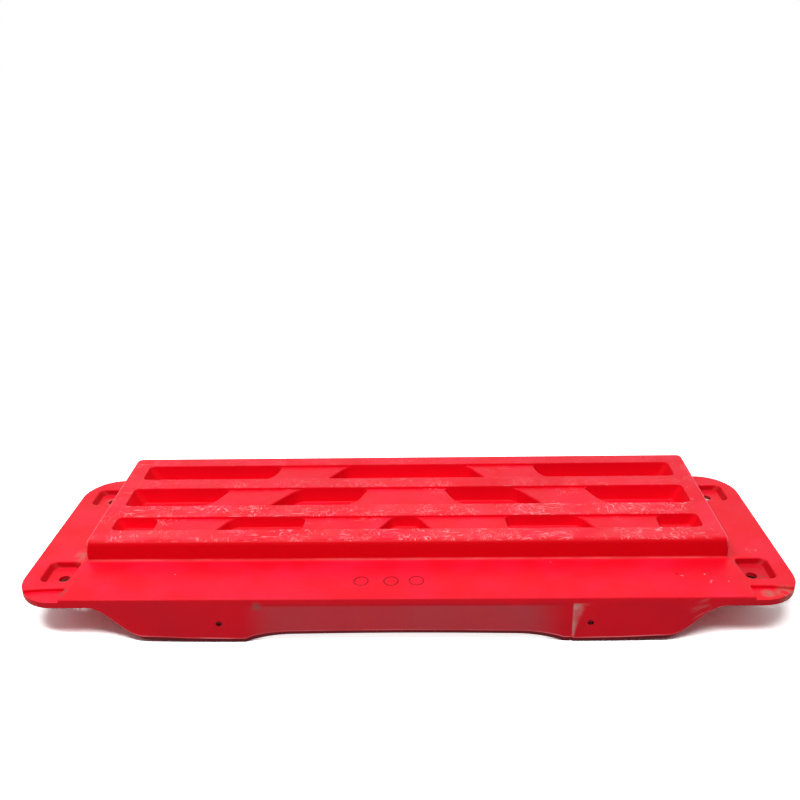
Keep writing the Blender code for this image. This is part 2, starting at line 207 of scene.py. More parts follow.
# %% Raise the tread out of the plate
RISER_LEAN = 0.0012
pick('FACE', lambda face: faces_up(face) and abs(middle(face).x) < LEDGE_SIDE)
cut((0, TREAD_FRONT - RISER_LEAN, 0), (0, 1, 0))
pick('VERT', lambda vertex: near(vertex.co.z, WING_TOP) and near(abs(vertex.co.x), BLOCK_HALF)
     and vertex.co.y > TREAD_FRONT - 0.01)
move(0, 0, RISER_FOOT - WING_TOP)
pick('FACE', lambda face: faces_up(face) and near(middle(face).x, 0) and middle(face).y > 0)
pull(0, 0, TREAD_TOP - RISER_FOOT)
pick('EDGE', lambda edge: near(middle(edge).z, TREAD_TOP) and near(middle(edge).x, 0) and middle(edge).y < 0)
move(0, RISER_LEAN, 0)
pick('FACE', lambda face: faces_up(face) and near(middle(face).z, TREAD_TOP))
bpy.ops.transform.resize(value=(TREAD_HALF / BLOCK_HALF, 1, 1), center_override=(0, 0, TREAD_TOP))
print("tread top at", round(max(vertex.co.z for vertex in edit_shape().verts), 4))

# %% [markdown]
# Below the plate the skirt comes down. Its lower edge stands on two feet, sweeps up to the wings in an S and
# arches a little between the feet. The underside is sliced into narrow strips, and each cut line is moved
# down to the height that the edge has there, so the front and back faces take the outline by themselves.

# %% Draw the lower edge of the skirt
FOOT_INNER = 0.156
FOOT_FLAT = 0.170
FOOT_OUTER = 0.250
FOOT_RISE = 0.0028
SWEEP_TOP = 0.309
ARCH_RUN = 0.046
ARCH_EDGE = 0.0080
ARCH_CROWN = 0.0020
CROWN_LINES = [0.085, 0.060, 0.035, 0.010]


def skirt_height(x):
    """Height of the lower edge at a distance from the middle."""
    x = abs(x)
    if x < FOOT_INNER:
        start = 1 - min(1, (FOOT_INNER - x) / ARCH_RUN)
        return ARCH_EDGE * (1 - start ** 2) + ARCH_CROWN * math.cos(math.pi / 2 * x / FOOT_INNER)
    if x < FOOT_FLAT:
        return 0.0
    if x < FOOT_OUTER:
        return FOOT_RISE * ((x - FOOT_FLAT) / (FOOT_OUTER - FOOT_FLAT)) ** 2
    share = (x - FOOT_OUTER) / (SWEEP_TOP - FOOT_OUTER)
    return FOOT_RISE + (WING_UNDERSIDE - FOOT_RISE) * (1 - math.cos(math.pi * share)) / 2


def faces_down(face):
    return face.normal.z < -0.9


sweep_lines = [FOOT_OUTER + (SWEEP_TOP - FOOT_OUTER) * step / 14 for step in range(15)]
arch_lines = [FOOT_INNER - ARCH_RUN * step / 8 for step in range(9)] + CROWN_LINES
arch_lines += [FOOT_FLAT + (FOOT_OUTER - FOOT_FLAT) * step / 4 for step in range(4)]
for x in sorted(sweep_lines + arch_lines):
    for side in SIDES:
        pick('FACE', lambda face: faces_down(face) and abs(middle(face).x) < BLOCK_HALF)
        cut((side * x, 0, 0), (1, 0, 0))
for x in sweep_lines[:-1] + arch_lines:
    pick('VERT', lambda vertex: near(vertex.co.z, WING_UNDERSIDE, 0.00001)
         and near(abs(vertex.co.x), x, 0.00005))
    move(0, 0, skirt_height(x) - WING_UNDERSIDE)
print("skirt drawn with", len(sweep_lines) + len(arch_lines), "lines a side")

# %% [markdown]
# A mould has no knife edges, and neither has the part: every outer edge is rounded, and the inner corner at
# the riser's foot has a fillet. These bevels come now, while the mesh is still clean, and each takes one
# group of edges: first the upright corners of the block, then its rim, its foot, and the plate and skirt.

# %% Round the outer edges of the block
UPRIGHT_ROUND = 0.0057
NOSE_ROUND = 0.0046
RIM_ROUND = 0.0018


def along(edge, axis):
    first, second = (vertex.co for vertex in edge.verts)
    return abs(first[axis] - second[axis]) > 0.9 * (first - second).length


def is_wall(face):
    """True for the sides and the back of the block, with the round corners between them."""
    return abs(face.normal.z) < 0.3 and (abs(face.normal.x) > 0.5 or face.normal.y > 0.5)


uprights = round_edges(lambda edge: along(edge, 2) and middle(edge).z > WING_UNDERSIDE
                       and near(middle(edge).y, BACK)
                       and TREAD_HALF - 0.001 < abs(middle(edge).x) < BLOCK_HALF + 0.001, UPRIGHT_ROUND, 5)
nose = round_edges(lambda edge: along(edge, 0) and near(middle(edge).z, TREAD_TOP) and middle(edge).y < 0,
                   NOSE_ROUND, 5)
rim = round_edges(lambda edge: middle(edge).z > RISER_FOOT + 0.001
                  and [is_wall(face) for face in edge.link_faces].count(True) == 1, RIM_ROUND, 3)
print("block:", uprights, "uprights,", nose, "front edge,", rim, "rim edges")

# %% Round the foot of the block and the edges of the plate and skirt
FOOT_FILLET = 0.0026
WING_ROUND = 0.0014
UNDER_ROUND = 0.0016


def outer_edge(edge):
    """True for an edge between a level face and one that turns away from it."""
    tilts = [abs(face.normal.z) for face in edge.link_faces]
    return max(tilts) > 0.9 and min(tilts) < 0.5


def level_edge(edge, height):
    return all(near(vertex.co.z, height) for vertex in edge.verts)


foot = round_edges(lambda edge: outer_edge(edge) and level_edge(edge, RISER_FOOT)
                   and middle(edge).y < BACK - 0.005, FOOT_FILLET, 4)
wing_edge = round_edges(lambda edge: outer_edge(edge) and level_edge(edge, WING_TOP)
                        and middle(edge).y < BACK - 0.003, WING_ROUND, 3)
under_edge = round_edges(lambda edge: not along(edge, 1) and not along(edge, 2)
                         and middle(edge).z < WING_UNDERSIDE + 0.0001
                         and (middle(edge).y < 0.1 or abs(middle(edge).x) < SWEEP_TOP)
                         and any(abs(face.normal.z) < 0.1 for face in edge.link_faces)
                         and any(face.normal.z < -0.3 for face in edge.link_faces), UNDER_ROUND, 3)
print("foot", foot, "wing edge", wing_edge, "under edge", under_edge)

# %% [markdown]
# The tread is pressed into three rows. Each row is a shallow channel between two bars, and in it lie deep
# pockets with low bridges between them, whose borders run at a slant. The rows are cut as lines on the flat
# top, sunk as a whole to the level of the bridges, and then the pockets are sunk further one by one. A
# sunk floor is made a little smaller than its mouth, because a mould needs that lean to let go.

# %% Lay out the rows
BRIDGE_DROP = 0.0025
DEEP_POCKET = 0.0180
SHALLOW_POCKET = 0.0135
# Of each row: its back, front, half length and depth, 1 for a pocket or -1 for a bridge in the middle, and
# from there outwards the borders between pockets and bridges, at the back and at the front of the row
ROWS = (
    (0.1112, 0.0770, 0.3063, DEEP_POCKET, 1, ((0.0716, 0.0930), (0.1485, 0.1576))),
    (0.0550, 0.0146, 0.3085, DEEP_POCKET, -1, ((0.0429, 0.0585), (0.1230, 0.1520), (0.1999, 0.2178))),
    (-0.0100, -0.0372, 0.3078, SHALLOW_POCKET, 1,
     ((0.0143, 0.0290), (0.1060, 0.1086), (0.1853, 0.1996), (0.2652, 0.2652))),
)


def tread_rows(grow):
    """The three rows, from the back, with every pocket grown outwards by some wall."""
    for back, front, half, depth, first, borders in ROWS:
        shifts = [grow * first * (-1) ** count for count in range(len(borders))]
        moved = [(at_back + shift, at_front + shift) for (at_back, at_front), shift in zip(borders, shifts)]
        yield {"back": back + grow, "front": front - grow, "half": half + grow, "depth": depth,
               "first": first, "borders": moved}


def border_x(row, border, y):
    share = (row["back"] - y) / (row["back"] - row["front"])
    return border[0] + (border[1] - border[0]) * share


def in_row(row, point):
    return row["front"] < point.y < row["back"] and abs(point.x) < row["half"]


def in_pocket(row, point):
    passed = sum(abs(point.x) > border_x(row, border, point.y) for border in row["borders"])
    return (-1) ** passed == row["first"]


def level_face(face, height):
    return faces_up(face) and near(middle(face).z, height, 0.00005)


def cut_rows(rows, top):
    """Draw the lines of the rows and of the slanted borders on a flat top."""
    for row in rows:
        span = row["back"] - row["front"]
        for y in (row["back"], row["front"]):
            pick('FACE', lambda face: level_face(face, top))
            cut((0, y, 0), (0, 1, 0))
        for side in SIDES:
            pick('FACE', lambda face: level_face(face, top) and row["front"] < middle(face).y < row["back"])
            cut((side * row["half"], 0, 0), (1, 0, 0))
            for back_x, front_x in row["borders"]:
                pick('FACE', lambda face: level_face(face, top) and in_row(row, middle(face)))
                cut((side * back_x, row["back"], 0), (span, -side * (back_x - front_x), 0))
    return sum(level_face(face, top) for face in edit_shape().faces)


rows = list(tread_rows(0))
print("top cut into", cut_rows(rows, TREAD_TOP), "faces")

# %% Sink the rows and the pockets
WALL_LEAN = math.tan(math.radians(8))
BRIDGE_LEAN = math.tan(math.radians(9))
END_LEAN = math.tan(math.radians(28))


def sink(depth, low_lean, high_lean, side_lean):
    """Extrude the picked floor downwards, and let each side lean in by so much per depth."""
    chosen = [vertex.co for vertex in edit_shape().verts if vertex.select]
    low = Vector([min(point[axis] for point in chosen) for axis in range(3)])
    high = Vector([max(point[axis] for point in chosen) for axis in range(3)])
    span = high - low
    shift = Vector((depth * (low_lean - high_lean) / 2, 0, -depth))
    shrink_x = (span.x - depth * (low_lean + high_lean)) / span.x
    shrink_y = (span.y - 2 * depth * side_lean) / span.y
    pull(*shift)
    bpy.ops.transform.resize(value=(shrink_x, shrink_y, 1), center_override=(low + high) / 2 + shift)


def sink_rows(rows, top):
    """Lower every row to its bridges, and every pocket to its floor."""
    count = 0
    for row in rows:
        pick('FACE', lambda face: level_face(face, top) and in_row(row, middle(face)))
        sink(BRIDGE_DROP, WALL_LEAN, WALL_LEAN, WALL_LEAN)
        places = [middle(face) for face in edit_shape().faces if level_face(face, top - BRIDGE_DROP)]
        for place in [place for place in places if in_row(row, place) and in_pocket(row, place)]:
            pick('FACE', lambda face: faces_up(face) and (middle(face) - place).length < 0.0005)
            outermost = abs(place.x) > row["borders"][-1][0]
            low_lean = END_LEAN if outermost and place.x < 0 else BRIDGE_LEAN
            high_lean = END_LEAN if outermost and place.x > 0 else BRIDGE_LEAN
            sink(row["depth"] - BRIDGE_DROP, low_lean, high_lean, WALL_LEAN)
            count += 1
    return count


print("pockets sunk:", sink_rows(rows, TREAD_TOP))

# %% [markdown]
# The pockets are softened in the same order as by hand: the upright corners first, so that the outlines turn
# round bends, then the rims on top, the inner corners at the floors, and last the borders of the bridges. The
# blunt corners beside a bridge turn in a wider bend than those at the ends of a row, widest on the near side.

# %% Turn the upright corners of the pockets into bends
ROW_END = 0.291
ROW_END_ROUND = 0.0058
CLEAR_BEND = 0.3
BLUNT_BEND = 1.5
WIDE_ROW = 0.030


def in_tread(point):
    return abs(point.x) < 0.310 and -0.042 < point.y < 0.115


def rises(edge):
    return abs(edge.verts[0].co.z - edge.verts[1].co.z) > 0.002


def bends_upright(edge):
    return in_tread(middle(edge)) and rises(edge) and edge.calc_face_angle(0) > CLEAR_BEND


def beside_bridge(edge, row, wide, at_front):
    """True for an upright edge between a border and a long wall, sorted by its angle and side of the row."""
    place = middle(edge)
    blunt = edge.calc_face_angle(0) < BLUNT_BEND and abs(place.x) > 0.03
    return (bends_upright(edge) and in_row(row, place) and abs(place.x) < ROW_END
            and place.z < TREAD_TOP - 0.004 and blunt == wide
            and (place.y < (row["front"] + row["back"]) / 2) == at_front)


pick('EDGE', lambda edge: in_tread(middle(edge)) and rises(edge) and edge.calc_face_angle(0) < 0.05)
bpy.ops.mesh.dissolve_edges(use_verts=True)
row_ends = round_edges(lambda edge: bends_upright(edge) and abs(middle(edge).x) > ROW_END, ROW_END_ROUND, 6)
bends = 0
for row in rows:
    span = row["back"] - row["front"]
    widest = span * (0.53 if span > WIDE_ROW else 0.36)
    for wide, at_front, size, segments in ((True, True, widest, 10), (True, False, 0.0075, 7),
                                           (False, True, 0.0040, 5), (False, False, 0.0050, 5)):
        bends += round_edges(lambda edge: beside_bridge(edge, row, wide, at_front), size, segments)
print("row ends", row_ends, "bends", bends)

# %% Soften the rims, the floors and the bridges
POCKET_RIM_ROUND = 0.0009
FLOOR_ROUND = 0.0022
BRIDGE_ROUND = 0.0020
WALL_ROOM = 0.0018


def off_walls(edge):
    """True if both ends of an edge stay clear of the long walls of its row."""
    depths = [vertex.co.y for vertex in edge.verts]
    return any(row["front"] + WALL_ROOM < min(depths) and max(depths) < row["back"] - WALL_ROOM
               for row in rows)


rims = round_edges(lambda edge: outer_edge(edge) and level_edge(edge, TREAD_TOP) and in_tread(middle(edge)),
                   POCKET_RIM_ROUND, 3)
floors = [round_edges(lambda edge: outer_edge(edge) and level_edge(edge, TREAD_TOP - depth), FLOOR_ROUND, 3)
          for depth in (DEEP_POCKET, SHALLOW_POCKET)]
bridges = round_edges(lambda edge: outer_edge(edge) and level_edge(edge, TREAD_TOP - BRIDGE_DROP)
                      and off_walls(edge)
                      and any(middle(face).z < TREAD_TOP - 0.004 for face in edge.link_faces),
                      BRIDGE_ROUND, 4)
work_in('OBJECT')
print("rim edges", rims, "floor edges", floors, "bridge edges", bridges)

# %% [markdown]
# The part is a shell, open underneath. The space inside is modelled as a body of its own, with the same rows
# pressed into its top, but grown by the thickness of the wall, and is then taken away from the moulding.
# The wall is 4 mm nearly everywhere, so from below the pockets show as cups, as on a real moulding.

# %% Model the space inside
WALL = 0.004


def new_box(name, low, high):
    """A box between two corners, ready to be shaped in edit mode."""
    low, high = Vector(low), Vector(high)
    return new_shape(bpy.ops.mesh.primitive_cube_add, name, (low + high) / 2, high - low)


def combine(body, tool, operation='DIFFERENCE'):
    """Apply one Boolean to the body and throw the tool away."""
    let_go()
    bpy.context.view_layer.objects.active = body
    body.select_set(True)
    change = body.modifiers.new(tool.name, 'BOOLEAN')
    change.operation = operation
    change.solver = 'EXACT'
    change.object = tool
    bpy.ops.object.modifier_apply(modifier=change.name)
    bpy.data.objects.remove(tool)


inside = new_box("inside", (-TREAD_HALF + WALL, FRONT + WALL, -0.01),
                 (TREAD_HALF - WALL, BACK - WALL, WING_TOP - WALL))
pick('FACE', faces_up)
cut((0, TREAD_FRONT + WALL, 0), (0, 1, 0))
pick('FACE', lambda face: faces_up(face) and middle(face).y > 0)
pull(0, 0, TREAD_TOP - WING_TOP)
cup_rows = list(tread_rows(WALL))
cut_rows(cup_rows, TREAD_TOP - WALL)
print("cups:", sink_rows(cup_rows, TREAD_TOP - WALL))
work_in('OBJECT')

# %% Model the space under the wings
LEDGE_PAD = (FRONT - 0.01, -0.106, 0.39)
BOLT_PADS = ((-0.0995, -0.0555, 0.3685), (0.0575, 0.1015, 0.3685))
under_wings = new_box("under_wings", (-WING_HALF_BACK + WALL, FRONT + WALL, WING_UNDERSIDE - 0.01),
                      (WING_HALF_BACK - WALL, WING_BACK - WALL, WING_TOP - WALL))
round_edges(lambda edge: along(edge, 2), WING_CORNER - WALL, 8)
work_in('OBJECT')
for side in SIDES:
    for low_y, high_y, outer_x in (LEDGE_PAD, *BOLT_PADS):
        x_range = sorted((side * (TREAD_HALF - WALL), side * outer_x))
        pad = new_box("pad", (x_range[0], low_y, WING_UNDERSIDE - 0.02), (x_range[1], high_y, WING_TOP))
        work_in('OBJECT')
        combine(under_wings, pad)
combine(inside, under_wings, 'UNION')
print("space inside:", len(inside.data.polygons), "faces")

# %% [markdown]
# Ten bosses under the bars take the screws of the two steel channels. A boss is a post that is left
# standing in the space, and its hole is cut afterwards, with one helper for all of them.

# %% Leave the bosses standing
BOSS_FOOT = 0.052
BOSS_RADIUS = 0.006
BOSS_HOLE_RADIUS = 0.0027
BOSS_HOLE_DEPTH = 0.0155
SCREWS = [(x, y) for y in (0.0655, 0.002) for x in (-0.26, -0.13, 0.0, 0.13, 0.26)]


def new_post(name, place, radius, low, high, sides):
    let_go()
    bpy.ops.mesh.primitive_cylinder_add(vertices=sides, radius=radius, depth=high - low,
                                        location=(place[0], place[1], (low + high) / 2))
    post = bpy.context.object
    post.name = name
    settle()
    return post


def tell_faces(step):
    print(step, "has", len(moulding.data.polygons), "faces")


for place in SCREWS:
    combine(inside, new_post("boss", place, BOSS_RADIUS, BOSS_FOOT, TREAD_TOP + 0.009, 24))
combine(moulding, inside)
for place in SCREWS:
    combine(moulding, new_post("boss_hole", place, BOSS_HOLE_RADIUS, BOSS_FOOT - 0.005,
                               BOSS_FOOT + BOSS_HOLE_DEPTH, 20))
tell_faces("shell")

# %% [markdown]
# The bolt pockets in the wings are shallow trays. The outer side is a wide ramp, the others are steeper, and
# the inner side follows the block, or runs outwards to the front in the front pair. A tray is modelled and
# rounded as a plug, which is easy to bevel, and then taken away from the moulding.

# %% Sink the bolt pockets
POCKET_FLOOR = 0.044
POCKET_MOUTH = WING_TOP + 0.0015
TRAY_X = 0.34995
TRAY_WIDTH = 0.0355
TRAY_LEAN = 0.35
TRAY_RAMP = 0.85
TRAY_CORNER = 0.0060
TRAY_FLOOR_ROUND = 0.0016
FRONT_TRAY = (-0.0965, -0.0590, 0.004)
REAR_TRAY = (0.0610, 0.0980, 0.0)
BOLTS = [(side * 0.345, y) for side in SIDES for y in (-0.082, 0.078)]
BOLT_RADIUS = 0.0055


def new_tray(side, low_y, high_y, flare):
    """A tapered plug with a rounded floor, for the pocket on one side."""
    middle_y = (low_y + high_y) / 2
    tray = new_shape(bpy.ops.mesh.primitive_plane_add, "tray", (TRAY_X, middle_y, POCKET_MOUTH),
                     (TRAY_WIDTH, high_y - low_y, 1))
    pick('VERT', lambda vertex: vertex.co.x < TRAY_X and vertex.co.y < middle_y)
    move(flare, 0, 0)
    pick_all()
    sink(POCKET_MOUTH - POCKET_FLOOR, TRAY_LEAN, TRAY_RAMP, TRAY_LEAN)
    face_outwards()
    round_edges(rises, TRAY_CORNER, 6)
    round_edges(lambda edge: level_edge(edge, POCKET_FLOOR), TRAY_FLOOR_ROUND, 3)
    if side < 0:
        pick_all()
        bpy.ops.transform.mirror(constraint_axis=(True, False, False), center_override=(0, 0, 0))
        face_outwards()
    work_in('OBJECT')
    return tray


for side in SIDES:
    for outline in (FRONT_TRAY, REAR_TRAY):
        combine(moulding, new_tray(side, *outline))
for place in BOLTS:
    hole = new_post("bolt_hole", place, BOLT_RADIUS, POCKET_FLOOR - 0.011, POCKET_FLOOR + 0.009, 40)
    combine(moulding, hole)
tell_faces("after the pockets")

# %% [markdown]
# At each front corner the wing drops by 3 mm to a small ledge, whose back edge bends forwards at the outer
# rim. The ledge is a box taken away, and the bend is given to the box first, by dividing its back edge and
# moving the points.

# %% Cut the ledges
LEDGE_TOP = 0.047
LEDGE_BACK = -0.1080
LEDGE_END = 0.400
LEDGE_BEND = -0.012
LEDGE_STEPS = 6
for side in SIDES:
    x_range = sorted((side * LEDGE_SIDE, side * LEDGE_END))
    ledge = new_box("ledge", (x_range[0], FRONT - 0.01, LEDGE_TOP),
                    (x_range[1], LEDGE_BACK, WING_TOP + 0.005))
    pick('EDGE', lambda edge: along(edge, 0) and near(middle(edge).y, LEDGE_BACK))
    bpy.ops.mesh.subdivide(number_cuts=LEDGE_STEPS - 1)
    for step in range(1, LEDGE_STEPS + 1):
        x = side * (LEDGE_SIDE + (LEDGE_END - LEDGE_SIDE) * step / LEDGE_STEPS)
        pick('VERT', lambda vertex: near(vertex.co.x, x) and near(vertex.co.y, LEDGE_BACK))
        move(0, LEDGE_BEND * (step / LEDGE_STEPS) ** 3, 0)
    work_in('OBJECT')
    combine(moulding, ledge)
tell_faces("after the ledges")

# %% [markdown]
# The middle of the skirt is set back as a shallow panel, hardly at the top and more towards the foot. Its
# left end is a soft ramp, wide at the top and narrow at the foot, and its right end a steeper step. The tool
# is a box whose end faces are moved until they lean that way.

# %% Press the panel into the skirt
PANEL_DEPTH = 0.0015
PANEL_RIM = 0.0003
PANEL_TOP = 0.0435
PANEL_LEFT = -0.150
PANEL_RIGHT = 0.1635
# Shifts of corners at the ends: 1 for the inner or -1 for the outer face, 1 for the top or -1 for the foot
LEFT_RAMP = ((1, 1, 0.010), (-1, 1, -0.008), (-1, -1, -0.006))
RIGHT_RAMP = ((-1, 1, 0.004), (-1, -1, 0.001))
panel = new_box("panel", (PANEL_LEFT, FRONT - PANEL_DEPTH, -0.01),
                (PANEL_RIGHT, FRONT + PANEL_DEPTH, PANEL_TOP))
for end, ramp in ((PANEL_LEFT, LEFT_RAMP), (PANEL_RIGHT, RIGHT_RAMP)):
    for depth_side, height_side, shift in ramp:
        pick('VERT', lambda vertex: near(vertex.co.x, end) and (vertex.co.y - FRONT) * depth_side > 0
             and (vertex.co.z - PANEL_TOP / 2) * height_side > 0)
        move(shift, 0, 0)
pick('VERT', lambda vertex: near(vertex.co.z, PANEL_TOP) and vertex.co.y > FRONT)
move(0, PANEL_RIM - PANEL_DEPTH, 0)
pick_all()
bpy.ops.mesh.quads_convert_to_tris()
work_in('OBJECT')
combine(moulding, panel)
tell_faces("after the panel")

# %% [markdown]
# Two small holes go through the skirt, three plain rings from the mould are pressed into the apron, and the
# apron has one small pit. The rings are thin tori, sunk by half of their thickness into the sloping apron.

# %% Pierce the skirt and press in the rings
SKIRT_HOLE = (0.180, 0.0215)
SKIRT_HOLE_RADIUS = 0.0031
RINGS = ((-0.0420, -0.0990), (-0.0124, -0.0990), (0.0127, -0.0986))
RING_RADIUS = 0.007
RING_LINE = 0.00055
PIT = (0.269, -0.0895)
PIT_RADIUS = 0.0017


def apron_height(y):
    riser = TREAD_FRONT - RISER_LEAN
    return WING_TOP + (RISER_FOOT - WING_TOP) * (y - FRONT) / (riser - FRONT)


def on_apron(x, y):
    return x, y, apron_height(y)


for side in SIDES:
    hole = new_post("skirt_hole", (0, 0), SKIRT_HOLE_RADIUS, -0.012, 0.012, 24)
    hole.rotation_euler = (math.radians(90), 0, 0)
    hole.location = (side * SKIRT_HOLE[0], FRONT, SKIRT_HOLE[1])
    settle()
    combine(moulding, hole)
for centre in RINGS:
    let_go()
    bpy.ops.mesh.primitive_torus_add(major_radius=RING_RADIUS, minor_radius=RING_LINE, major_segments=48,
                                     minor_segments=8, location=on_apron(*centre))
    settle()
    combine(moulding, bpy.context.object)
bpy.ops.mesh.primitive_ico_sphere_add(subdivisions=2, radius=PIT_RADIUS, location=on_apron(*PIT))
settle()
combine(moulding, bpy.context.object)
tell_faces("after the rings")

# %% [markdown]
# The cuts leave sharp mouths, so the rims of the trays and ledges are rounded last. They are the edges that
# lie on top of the wings, away from the block, with a clear bend between their two faces.

# %% Round the mouths of the cuts
MOUTH_ROUND = 0.0010


def at_mouth(edge):
    place = middle(edge)
    on_wing = BLOCK_HALF + 0.002 < abs(place.x) < WING_HALF - 0.0025 and place.z > WING_TOP - 0.0002
    return on_wing and edge.calc_face_angle(0) > CLEAR_BEND and edge.is_convex and place.y < 0.110


work_in('EDIT')
print("mouth edges:", round_edges(at_mouth, MOUTH_ROUND, 3))

# %% [markdown]
# The sides of the block are almost upright. Its rim is moved out by a little more than a millimetre at each
# end, now that no cut has to meet it any more.

# %% Spread the rim of the block
RIM_SPREAD = 0.0013
RIM_START = TREAD_HALF - 0.0085
RIM_FOOT = RISER_FOOT + 0.008
for side in SIDES:
    moved = pick('VERT', lambda vertex: side * vertex.co.x > RIM_START and vertex.co.z > RIM_FOOT)
    move(side * RIM_SPREAD, 0, 0)
    print("rim points moved:", moved)
work_in('OBJECT')

# %% [markdown]
# Smooth shading lets the rounded edges catch the light as curves. Edges that really are sharp stay sharp,
# and wide flat faces keep their own direction, so the small roundings don't make them look pillowed.

# %% Shade the moulding
let_go()
moulding.select_set(True)
bpy.context.view_layer.objects.active = moulding
bpy.ops.object.shade_smooth_by_angle(angle=math.radians(35))
flat_faces = moulding.modifiers.new("flat_faces", 'WEIGHTED_NORMAL')
flat_faces.keep_sharp = True
bpy.ops.object.modifier_apply(modifier=flat_faces.name)
moulding.data.update()
tell_faces("shaded moulding")

# %% [markdown]
# Wear follows the shape: outward edges are rubbed pale, and inward corners get painted shade and dirt. The
# shape knows where they are, so two values are stored on the mesh itself. A narrow face along a rounding
# takes its value from how sharply the mesh bends at its points, outwards for wear and inwards for shade and
# dirt. Wide faces get none.

# %% Mark the worn edges and the shaded, dirty corners
NARROW = 0.0032
FULL_BEND = 0.40
shape = bmesh.new()
shape.from_mesh(moulding.data)
worn_layer = shape.loops.layers.float.new("worn_edge")
shade_dirt_layer = shape.loops.layers.float.new("shaded_dirty_corner")
for face in shape.faces:
    if face.calc_area() / max(edge.calc_length() for edge in face.edges) > NARROW:
        continue
    for loop in face.loops:
        joints = [edge for edge in loop.vert.link_edges if len(edge.link_faces) == 2]
        turns = [edge.calc_face_angle_signed(0) for edge in joints]
        loop[worn_layer] = min(1.0, max(0.0, max(turns)) / FULL_BEND)
        # Inward bends give the value for painted shade and dirt in the corners.
        loop[shade_dirt_layer] = min(1.0, max(0.0, -min(turns)) / FULL_BEND)
shape.to_mesh(moulding.data)
shape.free()
print("marked:", [attribute.name for attribute in moulding.data.attributes if attribute.domain == 'CORNER'])

# %% [markdown]
# A finish is a network of small nodes. Written out one by one it is long and hard to read, so these two
# classes keep the network and offer a short word for each kind of node. A value that is the same all over
# goes straight into a socket. Only what varies is linked.

# %% Short words for nodes
class Network:
    def __init__(self, tree):
        self.tree = tree

    def node(self, kind, inputs=None, **settings):
        made = self.tree.nodes.new(kind)
        for key, value in settings.items():
            setattr(made, key, value)
        for key, value in (inputs or {}).items():
            self.set(made.inputs[key], value)
        return made

    def set(self, socket, value):
        if isinstance(value, bpy.types.NodeSocket):
            self.tree.links.new(value, socket)
        else:
            socket.default_value = value

    def math(self, operation, first, second=0.0):
        return self.node('ShaderNodeMath', {0: first, 1: second}, operation=operation).outputs[0]

    def vector(self, operation, first, second=(0, 0, 0)):
        return self.node('ShaderNodeVectorMath', {0: first, 1: second}, operation=operation).outputs["Value"]

    def fade(self, value, start, end, first=0.0, last=1.0):
        """Go smoothly from the first value to the last while the input runs from start to end."""
        sockets = {"Value": value, "From Min": start, "From Max": end, "To Min": first, "To Max": last}
        return self.node('ShaderNodeMapRange', sockets, interpolation_type='SMOOTHSTEP').outputs["Result"]

    def fold(self, operation, values):
        """Join values one after the other. A group in brackets stands for a fade."""
        joined = None
        for value in values:
            socket = self.fade(*value) if isinstance(value, tuple) else value
            joined = socket if joined is None else self.math(operation, joined, socket)
        return joined

    def times(self, *factors):
        return self.fold('MULTIPLY', factors)

    def more(self, *masks):
        return self.fold('MAXIMUM', masks)

    def plus(self, *parts):
        return self.fold('ADD', parts)

    def rays(self):
        """Two masks: what the camera sees, and what clear reflections see."""
        kinds = self.node('ShaderNodeLightPath').outputs
        return kinds["Is Camera Ray"], self.more(kinds["Is Glossy Ray"], kinds["Is Transmission Ray"])


# %% Short words for finishes
class Finish(Network):
    def __init__(self, name, ground=None):
        self.material = bpy.data.materials.new(name)
        self.material.use_nodes = True
        super().__init__(self.material.node_tree)
        self.shader = self.tree.nodes["Principled BSDF"]
        self.places = self.node('ShaderNodeTexCoord')
        self.place = self.places.outputs["Object"]
        self.colour = ground

    def stretched(self, scale, turn=0.0, lean=0.0):
        """The places, turned about the upright axis or leaned sideways, and stretched."""
        sockets = {"Vector": self.place, "Scale": [1 / part for part in scale], "Rotation": (0, lean, turn)}
        return self.node('ShaderNodeMapping', sockets, vector_type='TEXTURE').outputs["Vector"]

    def noise(self, scale, detail=2.0, place=None, distortion=0.0):
        sockets = {"Vector": place or self.place, "Scale": scale, "Detail": detail, "Distortion": distortion}
        return self.node('ShaderNodeTexNoise', sockets).outputs["Fac"]

    def axes(self, vector):
        return self.node('ShaderNodeSeparateXYZ', {0: vector}).outputs

    def away(self, centre):
        return self.vector('DISTANCE', self.place, centre)

    def spots(self, places):
        """Soft round spots: 1 in the middle of each and 0 from its radius on."""
        return self.more(*[(self.away(centre), 0.25 * radius, radius, 1, 0) for centre, radius in places])

    def stored(self, name):
        return self.node('ShaderNodeAttribute', attribute_name=name).outputs["Fac"]

    def coat(self, paint, *shares):
        """Lay a paint over the colour so far, as thick as the product of the shares."""
        made = self.node('ShaderNodeMix', data_type='RGBA')
        for key, value in ((0, self.times(*shares)), (6, self.colour), (7, paint)):
            self.set(made.inputs[key], value)
        self.colour = made.outputs[2]

    def complete(self, roughness, relief, strength, distance):
        """Link the colour, the roughness and the relief to the shader."""
        bump = self.node('ShaderNodeBump', {"Height": relief, "Strength": strength, "Distance": distance})
        values = {"Base Color": self.colour, "Roughness": roughness, "Normal": bump.outputs[0]}
        for name, value in values.items():
            self.set(self.shader.inputs[name], value)
        self.tell()

    def tell(self):
        print(self.material.name, "has", len(self.tree.nodes), "nodes")
